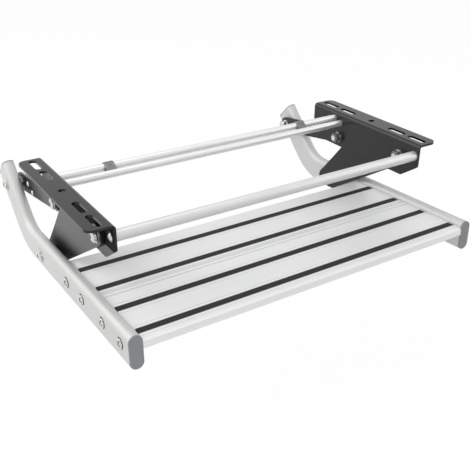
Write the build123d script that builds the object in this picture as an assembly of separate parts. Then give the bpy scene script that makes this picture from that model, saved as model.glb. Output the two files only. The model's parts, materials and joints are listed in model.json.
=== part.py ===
from build123d import *
from math import acos, atan2, cos, hypot, radians, sin
import os

# Pull-out entry step of a camper. Two angle brackets bolt under the floor, flat links hang from them
# and carry a tread that swings forwards and down. It is drawn swung back, as it travels.
# Millimetres: X to the right, Y to the rear, Z up. The origin is level with the brackets' top faces,
# midway between the brackets and midway along them.
os.makedirs("parts", exist_ok=True)

# Mounting brackets
frame_inner_width = 438.4
bracket_length = 222.0
plate_thickness = 3.0
plate_height = 51.0
flange_width = 32.9
bend_radius = 5.0
flange_corner_radius = 10.0
plate_corner_radius = 5.0
front_cut_length = 27.8
front_cut_height = 19.6
slot_length = 31.0
slot_width = 9.0
slot_from_plate = 16.0
outer_slot_from_end = 21.0
inner_slot_from_end = 59.5
spare_hole_radius = 2.0
front_spare_hole = (24.4, 15.1)
rear_spare_hole = (191.2, 14.2)
cut_margin = 1.0

# Places on the bracket plate, each as the distance behind its front edge and below its top
front_pivot_place = (35.0, 24.5)
rear_pivot_place = (162.5, 37.5)
front_rod_place = (7.8, 16.6)
rear_rod_place = (160.1, 14.9)
tie_bar_place = (173.6, 10.2)

# Rods and clamps
front_rod_radius = 6.7
rear_rod_radius = 4.9
tie_bar_radius = 4.9
clamp_x = 151.0
clamp_width = 13.5
clamp_wall = 1.6
clamp_foot_radius = 3.4
clamp_rounding = 1.3

# Links
link_thickness = 3.6
front_link_length = 173.5
front_link_slope = 31.23
front_link_eye_radius = 12.5
link_foot_drop = 13.9
link_toe_reach = 10.0
link_heel_reach = 41.5
link_toe_radius = 10.0
link_heel_radius = 13.0
link_back_reach = (-43.0, 79.3)
link_back_radius = 5.0
link_back_hollow = 1.3
link_waist_place = (72.0, 33.5)
link_waist_radius = 15.0
rear_link_front_radius = 10.8
rear_link_end_radius = 12.0
rivet_radius = 2.0
rivet_head_radius = 4.0
rivet_head_height = 1.5
rivet_tail_height = 1.2
rivets_from_end = (32.7, 46.8)
rivet_rises = (1.7, -7.9)

# Step: sizes in its own frame, with Y from the tread's front edge and Z from the tread's top
step_tilt = 2.13
rail_width = 16.0
rail_height = 40.0
rail_wall = 2.0
rail_above_tread = 7.4
rail_front = -0.2
rail_corner = 321.0
rail_bend_radius = 62.0
leg_angle = 46.5
leg_length = 106.0
lower_pivot_y = 260.5
upper_pivot_from_end = 24.5
cap_thickness = 2.0
cap_plug_depth = 12.0
cap_rim_radius = 0.8
leg_plug_thickness = 1.5
plug_clearance = 0.15

# Tread
tread_front = -2.0
plank_seam = 96.5
tread_rear = 201.5
plank_thickness = 18.0
plank_wall = 2.2
nose_slope_length = 5.5
nose_slope_sag = 0.45
nose_edge_drop = 2.0
nose_edge_radius = 0.5
nose_depth = 10.6
nose_foot_radius = 2.0
nose_land = 14.0
strip_centres = (15.4, 66.2, 118.1, 171.0)
strip_width = 9.6
strip_depth = 2.5
strip_proud = 0.4
strip_end_gap = 2.0
strip_rib_count = 4
strip_rib_depth = 0.5
tread_screw_places = (19.7, 65.6, 123.2, 169.9)
tread_screw_depth = 10.0
tread_screw_radius = 2.95
tread_screw_length = 46.0
tread_screw_head_radius = 6.8
tread_screw_head_height = 2.6
cross_length = 9.0
cross_width = 1.7
cross_turn = 25.0
cross_depth = 2.0
port_wall = 2.0
fine_groove_width = 0.8
fine_groove_depth = 0.5
fine_groove_gap = 5.2
nose_groove_place = 1.5
seam_groove_width = 1.6
seam_groove_depth = 1.6
band_from_seam = 5.8
band_groove_count = 5
band_groove_width = 0.9
band_groove_depth = 0.5
band_pitch = 1.6

# Fasteners
pivot_bolt_radius = 4.0
hex_across = 13.0
nut_height = 6.8
washer_radius = 8.0
washer_thickness = 1.6
wide_washer_radius = 9.4
outer_washer_radius = 8.4
outer_washer_thickness = 1.2
seal_radius = 7.4
seal_thickness = 1.0
bush_radius = 8.0
bush_thickness = 2.8
rail_gap = 3.6
dome_head_radius = 7.0
dome_head_height = 3.2
dome_head_side = 1.6
dome_socket_across = 5.0
dome_socket_depth = 1.9
small_socket_across = 4.0
small_socket_depth = 1.4
rod_screw_radius = 4.0
rod_screw_depth = 20.0
rod_head_radius = 4.6
rod_head_height = 2.3
rod_washer_radius = 6.2
rod_washer_thickness = 1.2
tie_screw_radius = 3.0
tie_head_radius = 4.4
tie_head_height = 2.0
tie_screw_depth = 14.0
tie_washer_radius = 5.0
rail_washer_radius = 9.0
rail_washer_thickness = 1.2
sleeve_radius = 6.0
running_clearance = 0.06
side_clearance = 0.15
bolt_tail = 1.5

# Planes across the width, on the right-hand side
plate_inner_x = frame_inner_width / 2
plate_outer_x = plate_inner_x + plate_thickness
link_inner_x = plate_outer_x + bush_thickness
link_outer_x = link_inner_x + link_thickness
rail_inner_x = link_outer_x + rail_gap
rail_outer_x = rail_inner_x + rail_width
rail_centre_x = rail_inner_x + rail_width / 2
upper_washer_x = link_outer_x + washer_thickness
bracket_front = -bracket_length / 2


def on_bracket(place):
    """Y and Z of a place given behind the bracket's front edge and below its top."""
    return (bracket_front + place[0], -place[1])


front_pivot = on_bracket(front_pivot_place)
rear_pivot = on_bracket(rear_pivot_place)
front_rod = on_bracket(front_rod_place)
rear_rod = on_bracket(rear_rod_place)
tie_bar = on_bracket(tie_bar_place)

# The step hangs from the lower pivot, at the end of the front links
rail_centre_z = rail_above_tread - rail_height / 2
lower_pivot_in_step = (lower_pivot_y, rail_centre_z)
leg_direction = (cos(radians(leg_angle)), sin(radians(leg_angle)))
upper_pivot_along_leg = leg_length - upper_pivot_from_end
upper_pivot_in_step = (
    rail_corner + upper_pivot_along_leg * leg_direction[0],
    rail_centre_z + upper_pivot_along_leg * leg_direction[1],
)
lower_pivot = (
    front_pivot[0] + front_link_length * cos(radians(front_link_slope)),
    front_pivot[1] - front_link_length * sin(radians(front_link_slope)),
)
step_place = (
    Pos(0, lower_pivot[0], lower_pivot[1])
    * Rot(-step_tilt, 0, 0)
    * Pos(0, -lower_pivot_in_step[0], -lower_pivot_in_step[1])
)


def from_step(point):
    """A point of the step's own frame, in the bracket's frame."""
    y = point[0] - lower_pivot_in_step[0]
    z = point[1] - lower_pivot_in_step[1]
    turn = radians(step_tilt)
    return (
        lower_pivot[0] + y * cos(turn) + z * sin(turn),
        lower_pivot[1] - y * sin(turn) + z * cos(turn),
    )


def to_step(point):
    """A point of the bracket's frame, in the step's own frame."""
    y = point[0] - lower_pivot[0]
    z = point[1] - lower_pivot[1]
    turn = radians(step_tilt)
    return (
        lower_pivot_in_step[0] + y * cos(turn) - z * sin(turn),
        lower_pivot_in_step[1] + y * sin(turn) + z * cos(turn),
    )


upper_pivot = from_step(upper_pivot_in_step)


def across(profile, x0, x1):
    """A profile drawn in Y and Z, as a solid between two places across the width."""
    return extrude(Plane.YZ.offset(x0) * profile, x1 - x0)


def disc(x0, x1, centre, radius):
    return across(Pos(*centre) * Circle(radius), x0, x1)


def ring(x0, x1, centre, outer, inner):
    return across(Pos(*centre) * (Circle(outer) - Circle(inner)), x0, x1)


def left(solid):
    """The same piece on the left-hand side."""
    return mirror(solid, about=Plane.YZ)


def dome(seat_x, centre, radius, height, side=0):
    """A low domed head that stands outwards from its seat, with a straight side below the dome."""
    rise = height - side
    ball_radius = (radius ** 2 + rise ** 2) / (2 * rise)
    ball = Pos(seat_x + height - ball_radius, *centre) * Rot(0, 90, 0) * Sphere(ball_radius)
    return disc(seat_x, seat_x + height, centre, radius) & ball


def hexagon(across_flats):
    return RegularPolygon(across_flats / 2, 6, major_radius=False)


def socket_screw(seat_x, centre, radius, length, head, socket):
    """A dome head with a recess for the tool, on a shank that points inwards from its seat.

    head is the dome's radius, height and straight side; socket is the recess's outline and depth.
    """
    top = seat_x + head[1]
    recess = Pos(*centre) * socket[0]
    body = dome(seat_x, centre, *head) - across(recess, top - socket[1], top + cut_margin)
    return disc(seat_x - length, seat_x, centre, radius) + body


def nut(x0, centre):
    """A hexagon nut of the pivots, its corners chamfered at both ends."""
    x1 = x0 + nut_height
    corner_radius = hex_across / 2 / cos(radians(30))
    round_body = disc(x0, x1, centre, corner_radius)
    rims = round_body.edges().filter_by(GeomType.CIRCLE)
    round_body = chamfer(rims, corner_radius - hex_across / 2)
    body = across(Pos(*centre) * hexagon(hex_across), x0, x1)
    return (body & round_body) - disc(x0, x1, centre, pivot_bolt_radius + running_clearance)


def write(name, *pieces):
    """Writes every solid of the pieces into one file."""
    solids = [solid for piece in pieces for solid in piece.solids()]
    export_step(solids[0] if len(solids) == 1 else Compound(solids), f"parts/{name}.step")


def write_pair(name, *pieces):
    """Writes right-hand pieces together with their left-hand copies."""
    write(name, *pieces, *[left(piece) for piece in pieces])


def write_sides(name, piece):
    """Writes a right-hand piece and its left-hand copy as two files."""
    write("right_" + name, piece)
    write("left_" + name, left(piece))


def bracket():
    """Angle bracket: a flange on top with the fixing slots, and a plate that carries rods and links."""
    top_x = plate_inner_x + flange_width
    section = Polyline(
        (plate_inner_x, -plate_height),
        (plate_outer_x, -plate_height),
        (plate_outer_x, -plate_thickness),
        (top_x, -plate_thickness),
        (top_x, 0),
        (plate_inner_x, 0),
        close=True,
    )
    face = make_face(section)
    bends = (
        ((plate_inner_x, 0), bend_radius),
        ((plate_outer_x, -plate_thickness), bend_radius - plate_thickness),
    )
    for corner, radius in bends:
        face = fillet(face.vertices().sort_by_distance(corner)[0], radius)
    body = extrude(Plane.XZ.offset(-bracket_length / 2) * face, bracket_length)
    corners = body.edges().filter_by(Axis.Z).group_by(Axis.X)[-1]
    body = fillet(corners, flange_corner_radius)
    side = Polyline(
        (bracket_front, cut_margin),
        (bracket_front, -plate_height + front_cut_height),
        (bracket_front + front_cut_length, -plate_height),
        (-bracket_front, -plate_height),
        (-bracket_front, cut_margin),
        close=True,
    )
    outline = make_face(side)
    low_corners = outline.vertices().group_by(Axis.Y)[:-1]
    outline = fillet([corner for level in low_corners for corner in level], plate_corner_radius)
    body &= across(outline, plate_inner_x - cut_margin, top_x + cut_margin)
    slot_x = plate_inner_x + slot_from_plate
    cuts = [Pos(slot_x, 0) * Circle(slot_width / 2)]
    for from_end in (outer_slot_from_end, inner_slot_from_end):
        for y in (bracket_front + from_end, -bracket_front - from_end):
            cuts.append(Pos(slot_x, y) * SlotOverall(slot_length, slot_width, rotation=90))
    below = Plane.XY.offset(-plate_thickness - cut_margin)
    for cut in cuts:
        body -= extrude(below * cut, plate_thickness + 2 * cut_margin)
    holes = [
        (front_pivot, pivot_bolt_radius + running_clearance),
        (rear_pivot, pivot_bolt_radius + running_clearance),
        (front_rod, rod_screw_radius + running_clearance),
        (rear_rod, tie_screw_radius + running_clearance),
        (tie_bar, tie_screw_radius + running_clearance),
        (on_bracket(front_spare_hole), spare_hole_radius),
        (on_bracket(rear_spare_hole), spare_hole_radius),
    ]
    for centre, radius in holes:
        body -= disc(plate_inner_x - cut_margin, plate_outer_x + cut_margin, centre, radius)
    return body


def cross_rod(centre, radius, screw_radius, screw_depth):
    """A round rod between the bracket plates, tapped at both ends."""
    rod = disc(-plate_inner_x, plate_inner_x, centre, radius)
    bore_radius = screw_radius + running_clearance
    bore = disc(plate_inner_x - screw_depth - bolt_tail, plate_inner_x, centre, bore_radius)
    return rod - bore - left(bore)


def rod_end(centre, screw_radius, screw_depth, head, washer_outer):
    """The screw and washer that hold a rod's end to the bracket plate."""
    seat = plate_outer_x + rod_washer_thickness
    length = seat - plate_inner_x + screw_depth
    socket = (hexagon(small_socket_across), small_socket_depth)
    washer = ring(plate_outer_x, seat, centre, washer_outer, screw_radius + running_clearance)
    return socket_screw(seat, centre, screw_radius, length, head, socket), washer


def clamp():
    """A rounded sleeve round the tie bar, with a short foot that bears on the back of the rear rod."""
    foot = Pos(*rear_rod) * Circle(clamp_foot_radius)
    sleeve = Pos(*tie_bar) * Circle(tie_bar_radius + clamp_wall)
    outline = make_hull(foot.edges() + sleeve.edges())
    body = across(outline, clamp_x - clamp_width / 2, clamp_x + clamp_width / 2)
    body = fillet(body.edges().filter_by(Plane.YZ), clamp_rounding)
    body -= disc(0, plate_inner_x, rear_rod, rear_rod_radius + running_clearance)
    return body - disc(0, plate_inner_x, tie_bar, tie_bar_radius + running_clearance)


def front_link():
    """Flat plate from the front pivot to the lower pivot, with a broad rounded foot."""
    eye = to_step(front_pivot)
    pivot = lower_pivot_in_step
    toe = (pivot[0] - link_toe_reach, pivot[1] - link_foot_drop)
    heel = (pivot[0] + link_heel_reach, pivot[1] - link_foot_drop)
    back = (pivot[0] + link_back_reach[0], pivot[1] + link_back_reach[1])
    waist = to_step(on_bracket(link_waist_place))
    low_tangent = tangent_point(toe, eye, front_link_eye_radius, -1)
    high_tangent = tangent_point(waist, eye, front_link_eye_radius, 1)
    rise = (back[0] - heel[0], back[1] - heel[1])
    span = hypot(*rise)
    hollow = (
        (heel[0] + back[0]) / 2 - link_back_hollow * rise[1] / span,
        (heel[1] + back[1]) / 2 + link_back_hollow * rise[0] / span,
    )
    edges = Line(low_tangent, toe) + Line(toe, heel) + ThreePointArc(heel, hollow, back)
    edges += Line(back, waist) + Line(waist, high_tangent) + Line(high_tangent, low_tangent)
    plate = make_face(edges.edges())
    roundings = (
        (toe, link_toe_radius),
        (heel, link_heel_radius),
        (back, link_back_radius),
        (waist, link_waist_radius),
    )
    for corner, radius in roundings:
        plate = fillet(plate.vertices().sort_by_distance(corner)[0], radius)
    plate += Pos(*eye) * Circle(front_link_eye_radius)
    plate -= Pos(*eye) * Circle(pivot_bolt_radius + running_clearance)
    plate -= Pos(*pivot) * Circle(pivot_bolt_radius + running_clearance)
    return step_place * across(plate, link_inner_x, link_outer_x)


def tangent_point(point, centre, radius, side):
    """Where the line from a point touches a circle, on its upper (1) or lower (-1) side."""
    towards = atan2(point[1] - centre[1], point[0] - centre[0])
    opening = acos(radius / hypot(point[0] - centre[0], point[1] - centre[1]))
    angle = towards + side * opening
    return (centre[0] + radius * cos(angle), centre[1] + radius * sin(angle))


def rivet_places():
    """Centres of the two rivets near the rear link's end."""
    reach = (upper_pivot[0] - rear_pivot[0], upper_pivot[1] - rear_pivot[1])
    span = hypot(*reach)
    along = (reach[0] / span, reach[1] / span)
    places = []
    for back, rise in zip(rivets_from_end, rivet_rises):
        places.append(
            (
                upper_pivot[0] - back * along[0] - rise * along[1],
                upper_pivot[1] - back * along[1] + rise * along[0],
            )
        )
    return places


def rear_link():
    """Flat bar from the rear pivot to the upper pivot on the rail's leg."""
    plate = make_hull(
        [
            (Pos(*rear_pivot) * Circle(rear_link_front_radius)).edge(),
            (Pos(*upper_pivot) * Circle(rear_link_end_radius)).edge(),
        ]
    )
    plate -= Pos(*rear_pivot) * Circle(pivot_bolt_radius + running_clearance)
    plate -= Pos(*upper_pivot) * Circle(pivot_bolt_radius + running_clearance)
    for place in rivet_places():
        plate -= Pos(*place) * Circle(rivet_radius)
    return across(plate, link_inner_x, link_outer_x)


def rivet(centre):
    """A domed rivet through the rear link."""
    shank = disc(link_inner_x, link_outer_x, centre, rivet_radius)
    head = dome(link_outer_x, centre, rivet_head_radius, rivet_head_height)
    tail = disc(link_inner_x - rivet_tail_height, link_inner_x, centre, rivet_head_radius)
    rim = tail.edges().filter_by(GeomType.CIRCLE).group_by(Axis.X)[0]
    return shank + head + chamfer(rim, rivet_tail_height / 2)


def rail_section(inset):
    """The rail's flat-oval section, drawn upright and inset all round."""
    return SlotOverall(rail_height - 2 * inset, rail_width - 2 * inset)


rail_front_plane = Plane(
    origin=(rail_centre_x, rail_front, rail_centre_z), x_dir=(0, 0, 1), z_dir=(0, 1, 0)
)
leg_end_plane = Plane(
    origin=(
        rail_centre_x,
        rail_corner + (leg_length - leg_plug_thickness) * leg_direction[0],
        rail_centre_z + (leg_length - leg_plug_thickness) * leg_direction[1],
    ),
    x_dir=(0, -leg_direction[1], leg_direction[0]),
    z_dir=(0, leg_direction[0], leg_direction[1]),
)


def rail():
    """Bent flat-oval tube under one side of the tread, with a leg up to the upper pivot."""
    route = [
        (rail_centre_x, rail_front, rail_centre_z),
        (rail_centre_x, rail_corner, rail_centre_z),
        tuple(leg_end_plane.origin),
    ]
    path = FilletPolyline(*route, radius=rail_bend_radius)
    outside = sweep(rail_front_plane * rail_section(0), path=path)
    tube = outside - sweep(rail_front_plane * rail_section(rail_wall), path=path)
    holes = [(lower_pivot_in_step, pivot_bolt_radius), (upper_pivot_in_step, pivot_bolt_radius)]
    holes += [((y, -tread_screw_depth), tread_screw_radius) for y in tread_screw_places]
    for centre, radius in holes:
        tube -= disc(rail_inner_x - cut_margin, rail_outer_x + cut_margin, centre, radius + running_clearance)
    return step_place * tube


def front_cap():
    """Plastic end cap: a thin rim over the rail's front end and a hollow plug inside it."""
    rim = extrude(rail_front_plane * rail_section(0), -cap_thickness)
    front_edges = rim.edges().group_by(Axis.Y)[0]
    rim = fillet(front_edges, cap_rim_radius)
    plug = rail_section(rail_wall + plug_clearance) - rail_section(2 * rail_wall)
    return step_place * (rim + extrude(rail_front_plane * plug, cap_plug_depth))


def leg_plug():
    """Thin plug that closes the top end of a rail's leg."""
    plate = extrude(leg_end_plane * rail_section(0), leg_plug_thickness)
    plug = rail_section(rail_wall + plug_clearance) - rail_section(2 * rail_wall)
    return step_place * (plate + extrude(leg_end_plane * plug, -cap_plug_depth))


def top_groove(centre, width, depth):
    """A groove across the tread's top face, as a profile in Y and Z."""
    return Pos(centre, 0) * Rectangle(width, 2 * depth)


def plank(outline, fine_grooves):
    """Hollow tread plank with grooves for the grip strips, and ports that take the rails' screws.

    Each fine groove is its place, its width and its depth.
    """
    box = outline.bounding_box()
    strips = [y for y in strip_centres if box.min.X < y < box.max.X]
    ports = [y for y in tread_screw_places if box.min.X < y < box.max.X]
    section = outline
    hollow = offset(outline, -plank_wall)
    for y in strips:
        hollow -= top_groove(y, strip_width + 2 * plank_wall, strip_depth + plank_wall)
    for y in ports:
        hollow -= Pos(y, -tread_screw_depth) * Circle(tread_screw_radius + port_wall)
        hollow -= Pos(y, -plank_thickness / 2) * Rectangle(plank_wall, plank_thickness)
    hollow -= Pos(sum(ports) / len(ports), -plank_thickness / 2) * Rectangle(plank_wall, plank_thickness)
    section -= hollow
    for y in strips:
        section -= top_groove(y, strip_width, strip_depth)
        for side in (-1, 1):
            beside = y + side * (strip_width / 2 + fine_groove_gap)
            section -= top_groove(beside, fine_groove_width, fine_groove_depth)
    for groove in fine_grooves:
        section -= top_groove(*groove)
    for y in ports:
        section -= Pos(y, -tread_screw_depth) * Circle(tread_screw_radius + running_clearance)
    return step_place * across(section, -rail_inner_x, rail_inner_x)


def front_plank():
    """The tread's front half: its top slopes to an edge, above an upright nose."""
    slope_start = (tread_front + nose_slope_length, 0)
    edge = (tread_front, -nose_edge_drop)
    foot = (tread_front, -nose_depth)
    middle = ((slope_start[0] + edge[0]) / 2, -nose_edge_drop / 2 + nose_slope_sag)
    outline = Line((plank_seam, 0), slope_start) + ThreePointArc(slope_start, middle, edge)
    outline += Polyline(
        edge,
        foot,
        (nose_land, -plank_thickness),
        (plank_seam, -plank_thickness),
        (plank_seam, 0),
    )
    face = make_face(outline.edges())
    for corner, radius in ((edge, nose_edge_radius), (foot, nose_foot_radius)):
        face = fillet(face.vertices().sort_by_distance(corner)[0], radius)
    grooves = [(nose_groove_place, fine_groove_width, fine_groove_depth)]
    grooves.append((plank_seam, seam_groove_width, seam_groove_depth))
    return plank(face, grooves)


def rear_plank():
    """The tread's rear half, with a band of fine grooves behind the seam."""
    length = tread_rear - plank_seam
    outline = Pos(plank_seam + length / 2, -plank_thickness / 2) * Rectangle(length, plank_thickness)
    grooves = [(plank_seam, seam_groove_width, seam_groove_depth)]
    for index in range(band_groove_count):
        place = plank_seam + band_from_seam + index * band_pitch
        grooves.append((place, band_groove_width, band_groove_depth))
    return plank(outline, grooves)


def grip_strip(y):
    """Ribbed rubber strip, seated in a groove of the tread and standing a little proud."""
    height = strip_depth + strip_proud
    profile = Pos(y, strip_proud - height / 2) * Rectangle(strip_width, height)
    pitch = strip_width / strip_rib_count
    for index in range(1, strip_rib_count):
        groove_y = y - strip_width / 2 + index * pitch
        profile -= Pos(groove_y, strip_proud) * Rectangle(pitch / 3, 2 * strip_rib_depth)
    half_length = rail_inner_x - strip_end_gap
    return step_place * across(profile, -half_length, half_length)


dome_head = (dome_head_radius, dome_head_height, dome_head_side)
dome_socket = (hexagon(dome_socket_across), dome_socket_depth)


def swinging_pivot(pivot):
    """Bolt, washers, seal, bush and nut that hold a link's end to the bracket plate.

    Outside the link come a wide washer, a seal and a smaller washer under the bolt's head.
    """
    wide_x = link_outer_x + side_clearance
    seal_x = wide_x + outer_washer_thickness
    outer_x = seal_x + seal_thickness
    seat = outer_x + outer_washer_thickness
    inner_washer_x = plate_inner_x - washer_thickness
    nut_x = inner_washer_x - nut_height
    bore = pivot_bolt_radius + running_clearance
    bolt = socket_screw(seat, pivot, pivot_bolt_radius, seat - nut_x + bolt_tail, dome_head, dome_socket)
    washers = (
        ring(wide_x, seal_x, pivot, wide_washer_radius, bore),
        ring(outer_x, seat, pivot, outer_washer_radius, bore),
        ring(inner_washer_x, plate_inner_x, pivot, washer_radius, bore),
    )
    seal = ring(seal_x, outer_x, pivot, seal_radius, bore)
    bush = ring(plate_outer_x, link_inner_x - side_clearance, pivot, bush_radius, bore)
    return bolt, washers, seal, bush, nut(nut_x, pivot)


def rail_spacer(pivot, inner_x):
    """Spacer between the rail's inner wall and what turns beside it."""
    return step_place * ring(inner_x, rail_inner_x, pivot, bush_radius, pivot_bolt_radius + running_clearance)


def rail_sleeve(pivot):
    """Sleeve inside the rail, between its walls, that keeps the bolt from crushing the tube."""
    inner = pivot_bolt_radius + running_clearance
    return step_place * ring(rail_inner_x + rail_wall, rail_outer_x - rail_wall, pivot, sleeve_radius, inner)


def link_nut(pivot, gap):
    """Washer and nut on the inner side of a link, a gap away from its face."""
    washer_x = link_inner_x - gap - washer_thickness
    nut_x = washer_x - nut_height
    washer = ring(washer_x, link_inner_x - gap, pivot, washer_radius, pivot_bolt_radius + running_clearance)
    return washer, nut(nut_x, pivot), nut_x


def write_mounting_frame():
    """Everything bolted to the vehicle: brackets, rods, clamps and the links' pivots."""
    write_sides("bracket", bracket())
    write("front_cross_rod", cross_rod(front_rod, front_rod_radius, rod_screw_radius, rod_screw_depth))
    write("rear_cross_rod", cross_rod(rear_rod, rear_rod_radius, tie_screw_radius, tie_screw_depth))
    write("tie_bar", cross_rod(tie_bar, tie_bar_radius, tie_screw_radius, tie_screw_depth))
    write_pair("rod_clamps", clamp())
    small_end = (tie_screw_radius, tie_screw_depth, (tie_head_radius, tie_head_height), tie_washer_radius)
    large_end = (rod_screw_radius, rod_screw_depth, (rod_head_radius, rod_head_height), rod_washer_radius)
    rods = (
        ("front_rod", front_rod, *large_end),
        ("rear_rod", rear_rod, *small_end),
        ("tie_bar", tie_bar, *small_end),
    )
    for name, *sizes in rods:
        screw, washer = rod_end(*sizes)
        write_pair(f"{name}_screws", screw)
        write_pair(f"{name}_washers", washer)
    for name, pivot in (("front", front_pivot), ("rear", rear_pivot)):
        bolt, washers, seal, bush, lock_nut = swinging_pivot(pivot)
        write_pair(f"{name}_pivot_bolts", bolt)
        write_pair(f"{name}_pivot_washers", *washers)
        write_pair(f"{name}_pivot_seals", seal)
        write_pair(f"{name}_pivot_bushes", bush)
        write_pair(f"{name}_pivot_nuts", lock_nut)


def write_links():
    """The swinging links, and what is fixed to them."""
    write_sides("front_link", front_link())
    write_sides("rear_link", rear_link())
    write_pair("rear_link_rivets", *[rivet(place) for place in rivet_places()])
    washer, lock_nut, nut_x = link_nut(upper_pivot, 0)
    outer_washer = ring(
        link_outer_x, upper_washer_x, upper_pivot, washer_radius, pivot_bolt_radius + running_clearance
    )
    write_pair("upper_pivot_washers", washer, outer_washer)
    write_pair("upper_pivot_nuts", lock_nut)
    write_pair("upper_pivot_studs", disc(nut_x - bolt_tail, upper_washer_x, upper_pivot, pivot_bolt_radius))


def write_step():
    """The tread, its rails and the lower ends of the pivots."""
    write_sides("rail", rail())
    write_sides("front_cap", front_cap())
    write_sides("leg_plug", leg_plug())
    write("front_tread_plank", front_plank())
    write("rear_tread_plank", rear_plank())
    for number, y in enumerate(strip_centres, start=1):
        write(f"grip_strip_{number}", grip_strip(y))
    bars = Rectangle(cross_length, cross_width) + Rectangle(cross_width, cross_length)
    cross = Rot(0, 0, cross_turn) * bars
    tread_head = (tread_screw_head_radius, tread_screw_head_height)
    tread_sizes = (tread_screw_radius, tread_screw_length, tread_head, (cross, cross_depth))
    tread_screws = [
        step_place * socket_screw(rail_outer_x, (y, -tread_screw_depth), *tread_sizes)
        for y in tread_screw_places
    ]
    write_pair("tread_screws", *tread_screws)
    washer, lock_nut, nut_x = link_nut(lower_pivot, side_clearance)
    write_pair("lower_pivot_washers", washer)
    write_pair("lower_pivot_nuts", lock_nut)
    seat = rail_outer_x + rail_washer_thickness
    bore = pivot_bolt_radius + running_clearance
    pivots = (
        ("lower", lower_pivot_in_step, link_outer_x + side_clearance, nut_x - bolt_tail),
        ("upper", upper_pivot_in_step, upper_washer_x + side_clearance, upper_washer_x + side_clearance),
    )
    for name, pivot, spacer_x, bolt_end_x in pivots:
        bolt = socket_screw(seat, pivot, pivot_bolt_radius, seat - bolt_end_x, dome_head, dome_socket)
        write_pair(f"{name}_pivot_bolts", step_place * bolt)
        write_pair(f"{name}_pivot_spacers", rail_spacer(pivot, spacer_x))
        write_pair(f"{name}_pivot_sleeves", rail_sleeve(pivot))
    washers = [ring(rail_outer_x, seat, pivot[1], rail_washer_radius, bore) for pivot in pivots]
    write_pair("rail_washers", *[step_place * washer for washer in washers])


write_mounting_frame()
write_links()
write_step()
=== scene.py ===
import json
import math
from typing import NamedTuple

import bpy
from mathutils import Matrix, Vector

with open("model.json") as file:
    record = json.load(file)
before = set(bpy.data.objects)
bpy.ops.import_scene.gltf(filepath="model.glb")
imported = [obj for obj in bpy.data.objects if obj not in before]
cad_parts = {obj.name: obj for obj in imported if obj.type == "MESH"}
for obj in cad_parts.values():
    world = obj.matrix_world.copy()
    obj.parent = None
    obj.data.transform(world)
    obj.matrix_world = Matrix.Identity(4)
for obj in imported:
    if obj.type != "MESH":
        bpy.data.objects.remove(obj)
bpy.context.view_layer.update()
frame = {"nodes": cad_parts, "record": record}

# The looks of a camper entry step: coated brackets and links, aluminium tread and rails, rubber strips.
# Metres, in the frame of the model: X to the right, Y to the rear, Z up.
nodes = frame["nodes"]
scene = bpy.context.scene
scene.view_settings.view_transform = "Standard"

# Camera, at the photograph's place and angle: angles in degrees, lens and sensor in millimetres
CAMERA_PLACE = Vector((-0.4751, -0.7284, 0.3349))
CAMERA_YAW = 33.127
CAMERA_PITCH = 27.734
CAMERA_ROLL = -0.577
CAMERA_LENS = 54.72
CAMERA_SENSOR = 36.0
CAMERA_NEAREST = 0.01

WHITE = (1.0, 1.0, 1.0, 1.0)

# Floor, with the share of plain white in what the camera sees of it and in what reflections show of it
FLOOR_HEIGHT = -0.27
FLOOR_SIZE = 16.0
FLOOR_COLOUR = (0.9, 0.9, 0.9, 1.0)
FLOOR_ROUGHNESS = 0.8
FLOOR_SEEN = 0.97
FLOOR_MIRRORED = 0.1

# World, as a light on the step: the camera and reflections see it plain white
WORLD_LIGHT = 0.44

# Painted shade: a nearly black colour painted where shade falls, each a box by two corners, mirrored to the
# other side:
# on the bracket's plate in the narrow gap beside the front link, and in the screw heads' recesses
PAINTED_SHADE = (0.003, 0.003, 0.003, 1.0)
LINK_GAP_SHADE = ((0.2219, -0.12, -0.034), (0.2225, 0.03, -0.003))
SCREW_RECESS_SHADE = ((0.2, -0.3, -0.2), (0.24885, 0.3, 0.0))

# Noise: the detail of the slow patches of tone and of the fine bumps
PATCH_DETAIL = 3.0
BUMP_DETAIL = 2.0

# The Mix node's sockets for colours, by number, because several of its sockets share a name
MIX_FACTOR, MIX_FIRST, MIX_SECOND = 0, 6, 7
MIX_RESULT = 2


class Lamp(NamedTuple):
    """A soft square lamp: its place, the point it looks at, its side and its power in watts."""

    place: tuple
    target: tuple
    size: float
    power: float


LAMPS = {
    "overhead": Lamp(place=(0.2, 0.3, 1.9), target=(0.0, 0.0, -0.1), size=1.8, power=8.0),
    "front_left": Lamp(place=(-1.1, -1.6, 0.9), target=(0.0, 0.0, -0.05), size=2.0, power=15.0),
    "rear_left": Lamp(place=(-1.3, 1.0, 0.9), target=(-0.45, 0.4, -0.27), size=1.8, power=24.0),
    "right": Lamp(place=(1.7, -0.7, 0.7), target=(0.0, 0.0, -0.05), size=1.8, power=8.0),
}


class Finish(NamedTuple):
    """What a material looks like.

    Its tone lies between two colours and its roughness between two limits. Both follow the same noise,
    of slow patches and fine bumps. The scales are those of the noise, and grain stretches that of the bumps.
    In dirty_box, where there is one, the finish is painted nearly black and matt, as painted shade.
    """

    name: str
    dark: tuple
    light: tuple
    roughness: tuple
    bump_scale: float
    bump_strength: float
    bump_depth: float
    grain: tuple = (1.0, 1.0, 1.0)
    patch_scale: float = 9.0
    metallic: float = 0.0
    specular: float = 0.5
    dirty_box: tuple = ()


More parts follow.
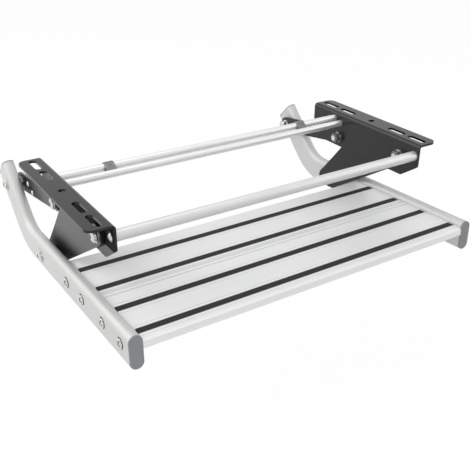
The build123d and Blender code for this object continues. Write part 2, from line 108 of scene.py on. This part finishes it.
BLACK_COAT = Finish(
    name="black_powder_coat",
    dark=(0.008, 0.008, 0.009),
    light=(0.016, 0.016, 0.017),
    roughness=(0.18, 0.28),
    bump_scale=1600.0,
    bump_strength=0.1,
    bump_depth=0.0002,
    specular=0.3,
)
SATIN_ROD = Finish(
    name="satin_rod",
    dark=(0.58, 0.58, 0.58),
    light=(0.72, 0.72, 0.72),
    roughness=(0.3, 0.42),
    bump_scale=1.0,
    bump_strength=0.05,
    bump_depth=0.0001,
    grain=(9.0, 1500.0, 1500.0),
    metallic=0.55,
)
ZINC_PLATE = Finish(
    name="zinc_plate",
    dark=(0.4, 0.39, 0.36),
    light=(0.8, 0.79, 0.75),
    roughness=(0.16, 0.34),
    bump_scale=900.0,
    bump_strength=0.1,
    bump_depth=0.0001,
    patch_scale=160.0,
    metallic=1.0,
)

# One finish for each material slot of the record, and four more for single nodes
FINISHES = {
    "black_coat": BLACK_COAT,
    # The brackets' coat, with painted shade, nearly black, in the narrow gap beside the front link
    "bracket_coat": BLACK_COAT._replace(name="black_bracket_coat_painted_shade", dirty_box=LINK_GAP_SHADE),
    "rail_aluminium": Finish(
        name="satin_rail",
        dark=(0.48, 0.485, 0.475),
        light=(0.58, 0.585, 0.575),
        roughness=(0.45, 0.58),
        bump_scale=2600.0,
        bump_strength=0.05,
        bump_depth=0.0001,
        metallic=0.3,
    ),
    "tread_aluminium": Finish(
        name="brushed_tread",
        dark=(0.68, 0.69, 0.68),
        light=(0.87, 0.88, 0.87),
        roughness=(0.42, 0.58),
        bump_scale=1.0,
        bump_strength=0.15,
        bump_depth=0.0001,
        grain=(14.0, 1900.0, 1900.0),
        metallic=0.25,
    ),
    "bright_rod": SATIN_ROD,
    "thin_rod": SATIN_ROD._replace(
        name="thin_rod",
        dark=(0.66, 0.66, 0.66),
        light=(0.8, 0.8, 0.8),
        roughness=(0.26, 0.36),
        metallic=0.65,
    ),
    "dull_steel": Finish(
        name="dull_steel",
        dark=(0.015, 0.015, 0.014),
        light=(0.32, 0.32, 0.3),
        roughness=(0.3, 0.5),
        bump_scale=700.0,
        bump_strength=0.2,
        bump_depth=0.0002,
        patch_scale=220.0,
        metallic=0.8,
    ),
    "zinc_steel": ZINC_PLATE,
    # Zinc screw heads, with painted shade, nearly black, in their recesses and at their rims
    "screw_head": ZINC_PLATE._replace(
        name="zinc_screw_head_painted_shade",
        roughness=(0.2, 0.4),
        metallic=0.7,
        dirty_box=SCREW_RECESS_SHADE,
    ),
    "black_rubber": Finish(
        name="black_rubber",
        dark=(0.012, 0.012, 0.012),
        light=(0.03, 0.03, 0.03),
        roughness=(0.6, 0.8),
        bump_scale=2400.0,
        bump_strength=0.3,
        bump_depth=0.0002,
        specular=0.35,
    ),
    "grey_plastic": Finish(
        name="grey_moulding",
        dark=(0.18, 0.185, 0.195),
        light=(0.24, 0.245, 0.255),
        roughness=(0.42, 0.56),
        bump_scale=2000.0,
        bump_strength=0.12,
        bump_depth=0.0001,
    ),
    "black_plastic": Finish(
        name="black_moulding",
        dark=(0.01, 0.01, 0.01),
        light=(0.022, 0.022, 0.022),
        roughness=(0.35, 0.5),
        bump_scale=2000.0,
        bump_strength=0.1,
        bump_depth=0.0001,
        specular=0.35,
    ),
}

# The nodes whose finish isn't that of their slot in the record
OWN_FINISHES = {
    "left_bracket": "bracket_coat",
    "right_bracket": "bracket_coat",
    "tie_bar": "thin_rod",
    "rear_cross_rod": "thin_rod",
    "rod_clamps": "dull_steel",
    "front_pivot_nuts": "dull_steel",
    "rear_pivot_nuts": "dull_steel",
    "front_rod_washers": "black_coat",
    "tread_screws": "screw_head",
}


def feed(tree, node, inputs):
    """Sets a node's inputs: a socket is linked to its input, and any other value is written there."""
    for key, value in inputs.items():
        if isinstance(value, bpy.types.NodeSocket):
            tree.links.new(value, node.inputs[key])
        else:
            node.inputs[key].default_value = value


def add_node(tree, kind, inputs=(), **settings):
    """A new node with its settings, and with its inputs by name or number."""
    node = tree.nodes.new(kind)
    for key, value in settings.items():
        setattr(node, key, value)
    feed(tree, node, dict(inputs))
    return node


def find_node(tree, kind):
    """The node of a kind that a new tree comes with."""
    return next(node for node in tree.nodes if node.type == kind)


def calculate(tree, operation, *values, **settings):
    """The result of a calculation with one to three values or sockets."""
    node = add_node(tree, "ShaderNodeMath", enumerate(values), operation=operation, **settings)
    return node.outputs["Value"]


def noise(tree, coordinates, scale, detail):
    """A noise texture's value, from 0 to 1."""
    inputs = {"Vector": coordinates, "Scale": scale, "Detail": detail}
    return add_node(tree, "ShaderNodeTexNoise", inputs).outputs["Fac"]


def between(tree, value, low, high):
    """A value from 0 to 1 brought between two limits."""
    inputs = {"Value": value, "To Min": low, "To Max": high}
    return add_node(tree, "ShaderNodeMapRange", inputs).outputs["Result"]


def mixed_colour(tree, factor, first, second):
    """A colour between two colours or colour sockets: the first at 0, the second at 1."""
    inputs = {MIX_FACTOR: factor, MIX_FIRST: first, MIX_SECOND: second}
    return add_node(tree, "ShaderNodeMix", inputs, data_type="RGBA").outputs[MIX_RESULT]


def inside_mirrored_box(tree, place, low, high):
    """1 inside a box and its mirror image on the other side, and 0 elsewhere."""
    axes = add_node(tree, "ShaderNodeSeparateXYZ", {"Vector": place}).outputs
    distances = (calculate(tree, "ABSOLUTE", axes["X"]), axes["Y"], axes["Z"])
    inside = 1.0
    for distance, least, most in zip(distances, low, high):
        on_axis = calculate(tree, "COMPARE", distance, (least + most) / 2, (most - least) / 2)
        inside = calculate(tree, "MULTIPLY", inside, on_axis)
    return inside


def make_material(finish):
    """A material with the tone, the roughness and the fine bumps of a finish."""
    material = bpy.data.materials.new(finish.name)
    material.use_nodes = True
    tree = material.node_tree
    place = add_node(tree, "ShaderNodeTexCoord").outputs["Object"]
    stretched = add_node(tree, "ShaderNodeMapping", {"Vector": place, "Scale": finish.grain})
    patches = noise(tree, place, finish.patch_scale, PATCH_DETAIL)
    bumps = noise(tree, stretched.outputs["Vector"], finish.bump_scale, BUMP_DETAIL)
    mean = calculate(tree, "MULTIPLY", calculate(tree, "ADD", patches, bumps), 0.5)
    colour = mixed_colour(tree, mean, (*finish.dark, 1.0), (*finish.light, 1.0))
    roughness = between(tree, mean, *finish.roughness)
    # Painted shade: inside the box and its mirror image, the colour is painted nearly black and the finish
    # made matt
    if finish.dirty_box:
        dirty = inside_mirrored_box(tree, place, *finish.dirty_box)
        colour = mixed_colour(tree, dirty, colour, PAINTED_SHADE)
        roughness = calculate(tree, "MAXIMUM", dirty, roughness)
    relief = {"Height": bumps, "Strength": finish.bump_strength, "Distance": finish.bump_depth}
    inputs = {
        "Base Color": colour,
        "Roughness": roughness,
        "Metallic": finish.metallic,
        "Specular IOR Level": finish.specular,
        "Normal": add_node(tree, "ShaderNodeBump", relief).outputs["Normal"],
    }
    feed(tree, find_node(tree, "BSDF_PRINCIPLED"), inputs)
    return material


def dress_nodes():
    """Gives each CAD node its own finish, or else the one of its slot in the record."""
    materials = {slot: make_material(finish) for slot, finish in FINISHES.items()}
    slots = {part["node"]: part["material_slot"] for part in frame["record"]["subparts"]}
    slots.update(OWN_FINISHES)
    for name, obj in nodes.items():
        for material_slot in obj.material_slots:
            material_slot.material = materials[slots[name]]


def share_of_rays(tree, camera_share, mirror_share):
    """A ray's share of plain white: one for the camera's rays, another for mirrored and passing rays."""
    path = add_node(tree, "ShaderNodeLightPath").outputs
    shares = {
        "Is Camera Ray": camera_share,
        "Is Glossy Ray": mirror_share,
        "Is Transmission Ray": mirror_share,
    }
    total = 0.0
    for name, share in shares.items():
        total = calculate(tree, "MULTIPLY_ADD", path[name], share, total, use_clamp=True)
    return total


def make_floor_material():
    """Pale and matt, and nearly plain white to the camera, so that only the shadow shows."""
    material = bpy.data.materials.new("pale_floor")
    material.use_nodes = True
    tree = material.node_tree
    principled = find_node(tree, "BSDF_PRINCIPLED")
    feed(tree, principled, {"Base Color": FLOOR_COLOUR, "Roughness": FLOOR_ROUGHNESS})
    glow = add_node(tree, "ShaderNodeEmission", {"Color": WHITE, "Strength": 1.0})
    share = share_of_rays(tree, FLOOR_SEEN, FLOOR_MIRRORED)
    mixed = (share, principled.outputs["BSDF"], glow.outputs["Emission"])
    blend = add_node(tree, "ShaderNodeMixShader", enumerate(mixed))
    feed(tree, find_node(tree, "OUTPUT_MATERIAL"), {"Surface": blend.outputs["Shader"]})
    return material


def add_floor():
    """A wide pale floor under the step, low enough for the tread's swing."""
    half = FLOOR_SIZE / 2
    mesh = bpy.data.meshes.new("floor")
    corners = [(-half, -half, 0), (half, -half, 0), (half, half, 0), (-half, half, 0)]
    mesh.from_pydata(corners, [], [(0, 1, 2, 3)])
    mesh.materials.append(make_floor_material())
    floor = bpy.data.objects.new("floor", mesh)
    floor.location.z = FLOOR_HEIGHT
    scene.collection.objects.link(floor)


def add_world():
    """A white studio: plain white to the camera and in reflections, softer as a light."""
    world = bpy.data.worlds.new("studio")
    world.use_nodes = True
    tree = world.node_tree
    share = share_of_rays(tree, camera_share=1.0, mirror_share=1.0)
    strength = between(tree, share, WORLD_LIGHT, 1.0)
    feed(tree, find_node(tree, "BACKGROUND"), {"Color": WHITE, "Strength": strength})
    scene.world = world


def add_lamps():
    """A broad lamp overhead, two from the left, and a weak one from the right."""
    for name, lamp in LAMPS.items():
        data = bpy.data.lights.new(name, "AREA")
        data.energy = lamp.power
        data.size = lamp.size
        light = bpy.data.objects.new(name, data)
        light.location = lamp.place
        direction = Vector(lamp.target) - Vector(lamp.place)
        light.rotation_euler = direction.to_track_quat("-Z", "Y").to_euler()
        scene.collection.objects.link(light)


def add_camera():
    """The camera looks along +Y, turned right by the yaw and down by the pitch, then rolled."""
    data = bpy.data.cameras.new("photo_camera")
    data.lens = CAMERA_LENS
    data.sensor_width = CAMERA_SENSOR
    data.clip_start = CAMERA_NEAREST
    camera = bpy.data.objects.new("photo_camera", data)
    scene.collection.objects.link(camera)
    yaw = math.radians(CAMERA_YAW)
    pitch = math.radians(CAMERA_PITCH)
    forward = Vector((math.sin(yaw) * math.cos(pitch), math.cos(yaw) * math.cos(pitch), -math.sin(pitch)))
    right = Vector((math.cos(yaw), -math.sin(yaw), 0.0))
    up = right.cross(forward)
    level = Matrix((right, up, -forward)).transposed()
    roll = Matrix.Rotation(math.radians(CAMERA_ROLL), 3, forward)
    camera.matrix_world = Matrix.Translation(CAMERA_PLACE) @ (roll @ level).to_4x4()
    scene.camera = camera


add_camera()
dress_nodes()
add_floor()
add_world()
add_lamps()
